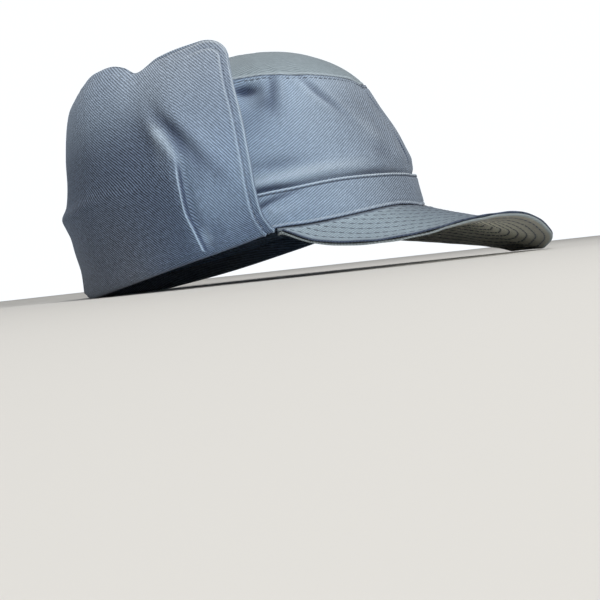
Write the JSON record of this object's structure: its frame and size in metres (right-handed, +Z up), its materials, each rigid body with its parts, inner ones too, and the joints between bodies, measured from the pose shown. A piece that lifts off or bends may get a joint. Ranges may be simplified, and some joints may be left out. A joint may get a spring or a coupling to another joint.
{
  "type": "earflap hat",
  "caption": "Peaked cloth cap with a domed crown, a lower band and a wide ear and neck flap folded up round its sides and back.",
  "frame": {"origin": "middle of the cap's bounds in plan, at the height of the surface it stands on", "axes": "+Z up; -Y towards the front of the peak; the wearer's right is towards -X"},
  "size_m": [0.1788, 0.282, 0.1315],
  "materials": {
    "twill": "matt blue-grey cotton twill",
    "flap_twill": "matt blue-grey cotton twill",
    "top_twill": "matt grey cotton twill",
    "underside_twill": "matt dark olive-grey cotton"
  },
  "bodies": {
    "root": {"crown_top": "top_twill", "crown_side_right": "twill", "crown_side_left": "twill", "head_band": "twill", "visor_top": "twill", "visor_under": "underside_twill", "ear_flap": "flap_twill", "ear_flap_facing": "flap_twill"}
  },
  "joints": []
}
